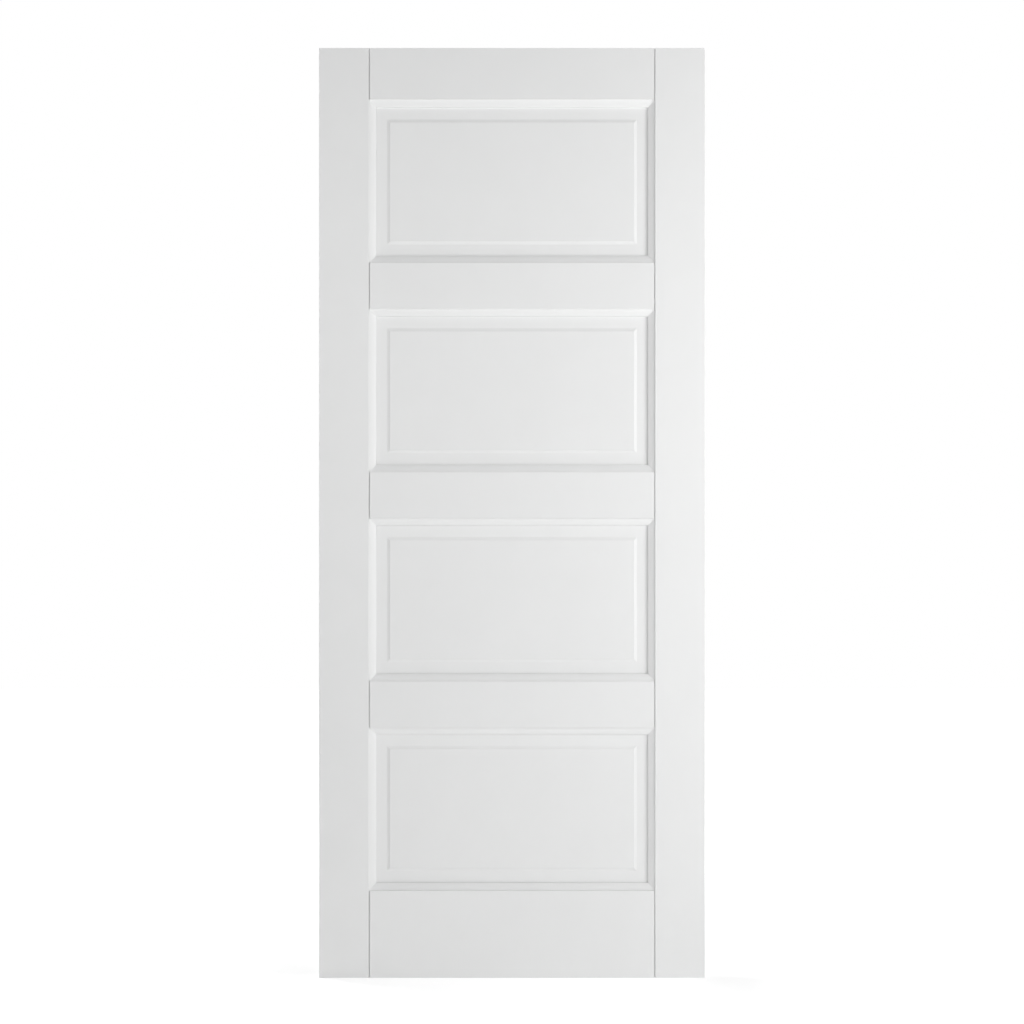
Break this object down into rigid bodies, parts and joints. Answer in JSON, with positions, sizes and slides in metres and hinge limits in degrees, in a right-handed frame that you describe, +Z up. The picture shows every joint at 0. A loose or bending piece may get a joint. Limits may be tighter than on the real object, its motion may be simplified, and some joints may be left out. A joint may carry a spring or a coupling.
{
  "type": "fire door leaf",
  "caption": "Panelled fire door leaf, primed white, with coped ovolo stiles and rails, raised and fielded panels and lipped long edges, made to be hung in a frame.",
  "frame": {"origin": "middle of the leaf's bottom edge, half way through its thickness", "axes": "+Z up the leaf, +X across it to the right as seen from the front, the front face looks along -Y"},
  "size_m": [0.822, 0.044, 1.981],
  "materials": {
    "primed_timber": "satin white primer on timber stiles and rails",
    "primed_lipping": "satin white primer on hardwood lipping",
    "primed_panel": "satin white primer on moulded fibreboard",
    "beech": "bare beech dowel",
    "fire_core": "bare dense chipboard",
    "intumescent": "matte graphite strip"
  },
  "bodies": {
    "root": {"left_stile": "primed_timber", "right_stile": "primed_timber", "left_lipping": "primed_lipping", "right_lipping": "primed_lipping", "bottom_rail": "primed_timber", "lower_cross_rail": "primed_timber", "middle_cross_rail": "primed_timber", "upper_cross_rail": "primed_timber", "top_rail": "primed_timber", "bottom_rail_dowels": "beech", "lower_cross_rail_dowels": "beech", "middle_cross_rail_dowels": "beech", "upper_cross_rail_dowels": "beech", "top_rail_dowels": "beech", "bottom_panel_front_skin": "primed_panel", "lower_panel_front_skin": "primed_panel", "upper_panel_front_skin": "primed_panel", "top_panel_front_skin": "primed_panel", "bottom_panel_back_skin": "primed_panel", "lower_panel_back_skin": "primed_panel", "upper_panel_back_skin": "primed_panel", "top_panel_back_skin": "primed_panel", "bottom_panel_fire_core": "fire_core", "lower_panel_fire_core": "fire_core", "upper_panel_fire_core": "fire_core", "top_panel_fire_core": "fire_core", "bottom_panel_seals": "intumescent", "lower_panel_seals": "intumescent", "upper_panel_seals": "intumescent", "top_panel_seals": "intumescent"}
  },
  "joints": []
}
